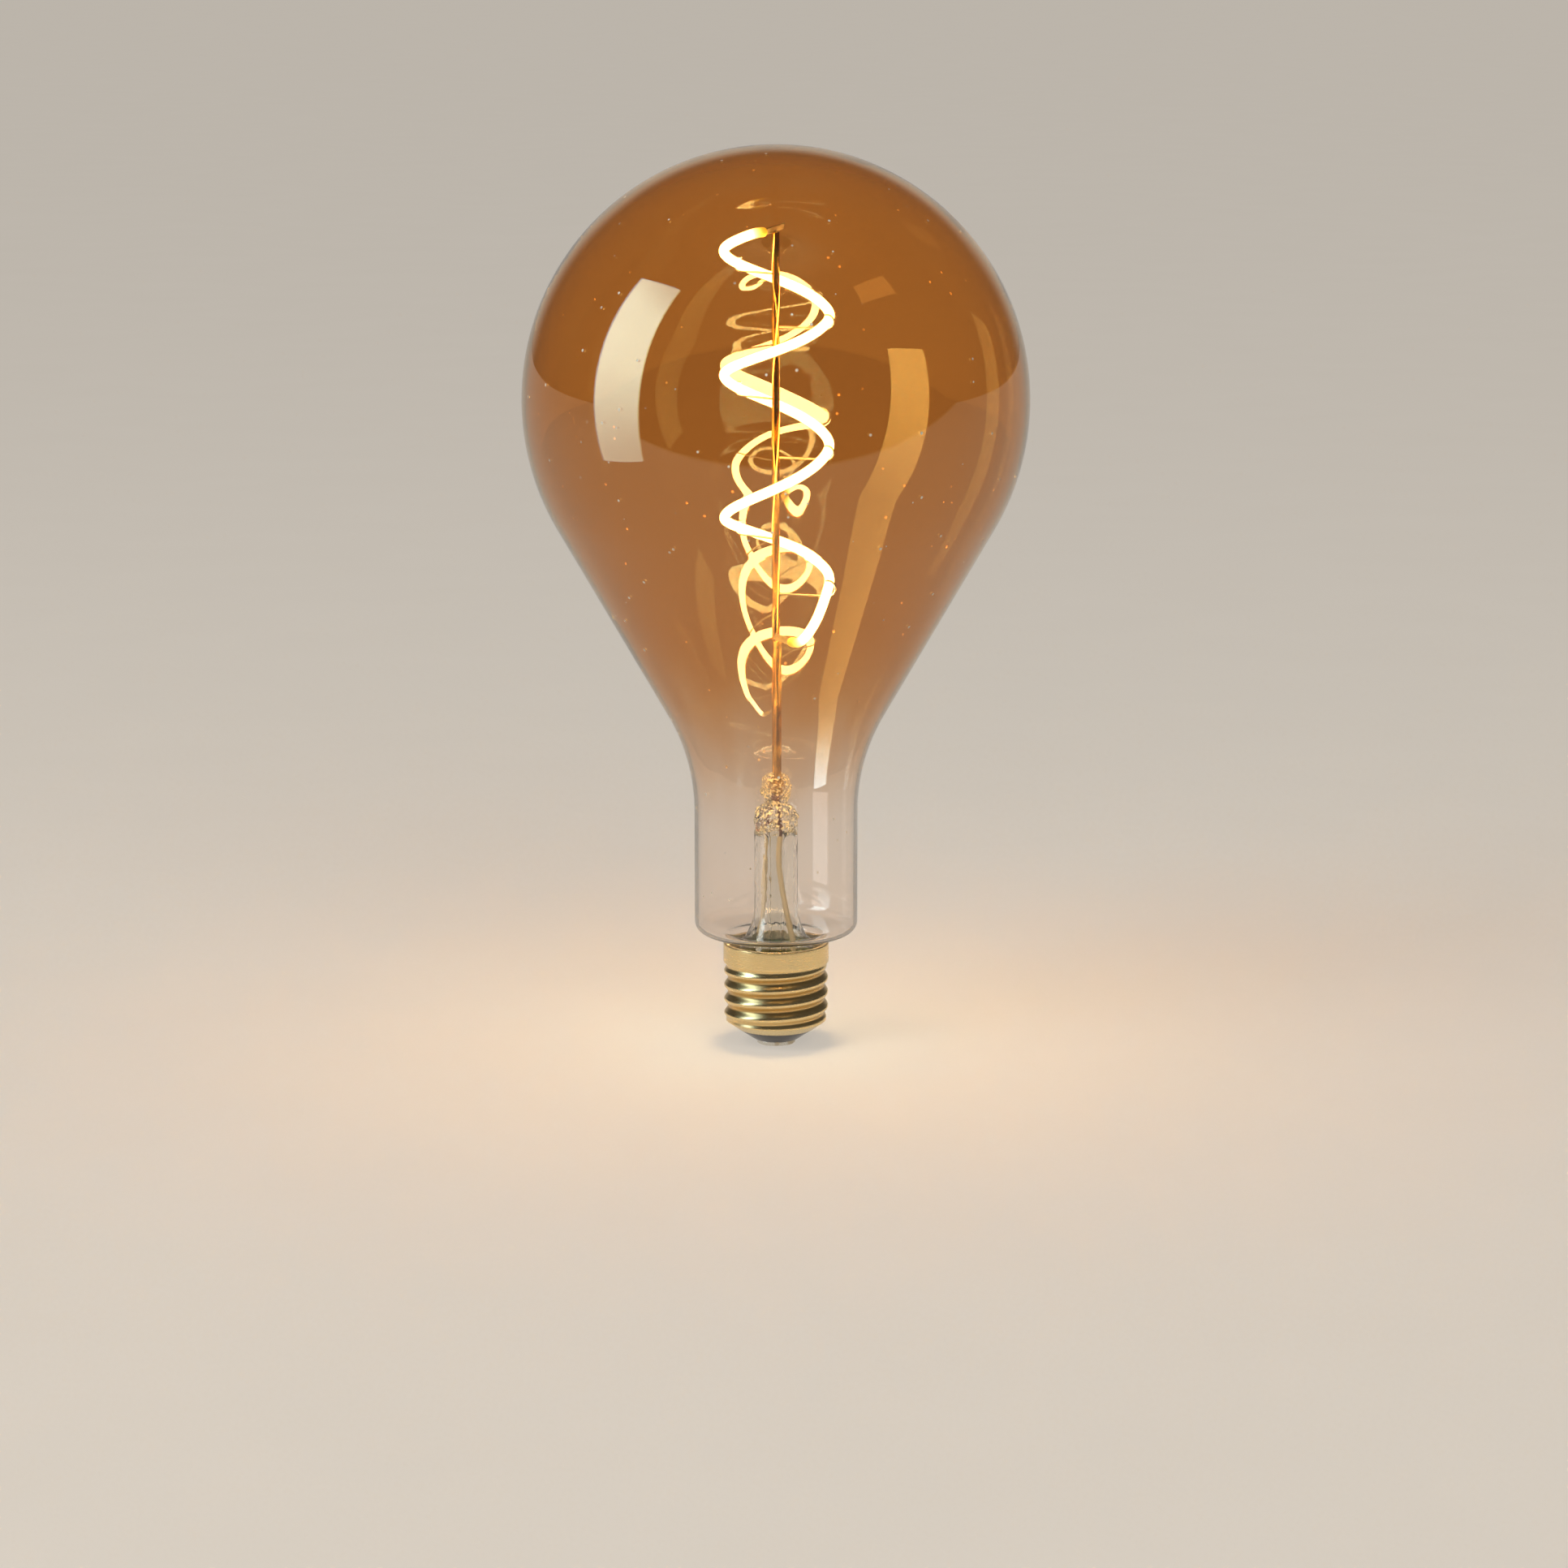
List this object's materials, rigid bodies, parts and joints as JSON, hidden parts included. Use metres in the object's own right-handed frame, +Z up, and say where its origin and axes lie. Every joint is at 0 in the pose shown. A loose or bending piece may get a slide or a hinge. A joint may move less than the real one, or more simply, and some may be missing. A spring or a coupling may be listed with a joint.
{
  "type": "decorative filament bulb",
  "caption": "Globe lamp in amber-filmed glass that tapers to a clear neck, with one lit spiral filament hooked to a centre rod, on a brass screw cap.",
  "frame": {"origin": "centre of the centre contact's flat bottom face", "axes": "+Z up the lamp's axis from the cap to the globe, -Y towards the viewer of the picture, +X to that viewer's right"},
  "size_m": [0.125, 0.125, 0.225],
  "materials": {
    "amber_glass": "thin amber film that reflects gold, fading to clear glass at the neck",
    "clear_glass": "clear drawn glass",
    "rod_metal": "drawn copper-coloured rod",
    "seal_wire": "dark oxidised copper skin",
    "lead_sleeve": "woven glass sleeve",
    "filament_coating": "translucent yellow phosphor coating, lit",
    "terminal_metal": "thin plated strip",
    "hook_wire": "fine drawn wire",
    "cap_metal": "pressed and rolled sheet, satin",
    "cap_insulation": "black glass",
    "contact_metal": "plated and slightly worn",
    "cement": "grainy cement",
    "board_laminate": "varnished laminate",
    "component_black": "moulded resin",
    "capacitor_can": "bare can",
    "resistor_body": "lacquered",
    "wire_insulation": "moulded sleeve",
    "bare_wire": "tinned wire"
  },
  "bodies": {
    "root": {"glass_envelope": "amber_glass", "stem_glass": "clear_glass", "exhaust_tube": "clear_glass", "upper_lead": "rod_metal", "lower_lead": "rod_metal", "upper_seal_wire": "seal_wire", "lower_seal_wire": "seal_wire", "upper_outer_lead": "lead_sleeve", "lower_outer_lead": "lead_sleeve", "filament": "filament_coating", "upper_terminal": "terminal_metal", "lower_terminal": "terminal_metal", "support_hook_1": "hook_wire", "support_hook_2": "hook_wire", "support_hook_3": "hook_wire", "support_hook_4": "hook_wire", "support_hook_5": "hook_wire", "support_hook_6": "hook_wire", "cap_shell": "cap_metal", "cap_insulator": "cap_insulation", "centre_contact": "contact_metal", "basing_cement": "cement", "driver_board": "board_laminate", "rectifier": "component_black", "driver_chip": "component_black", "capacitor": "capacitor_can", "fuse_resistor": "resistor_body", "contact_wire": "wire_insulation", "shell_wire": "bare_wire"}
  },
  "joints": []
}
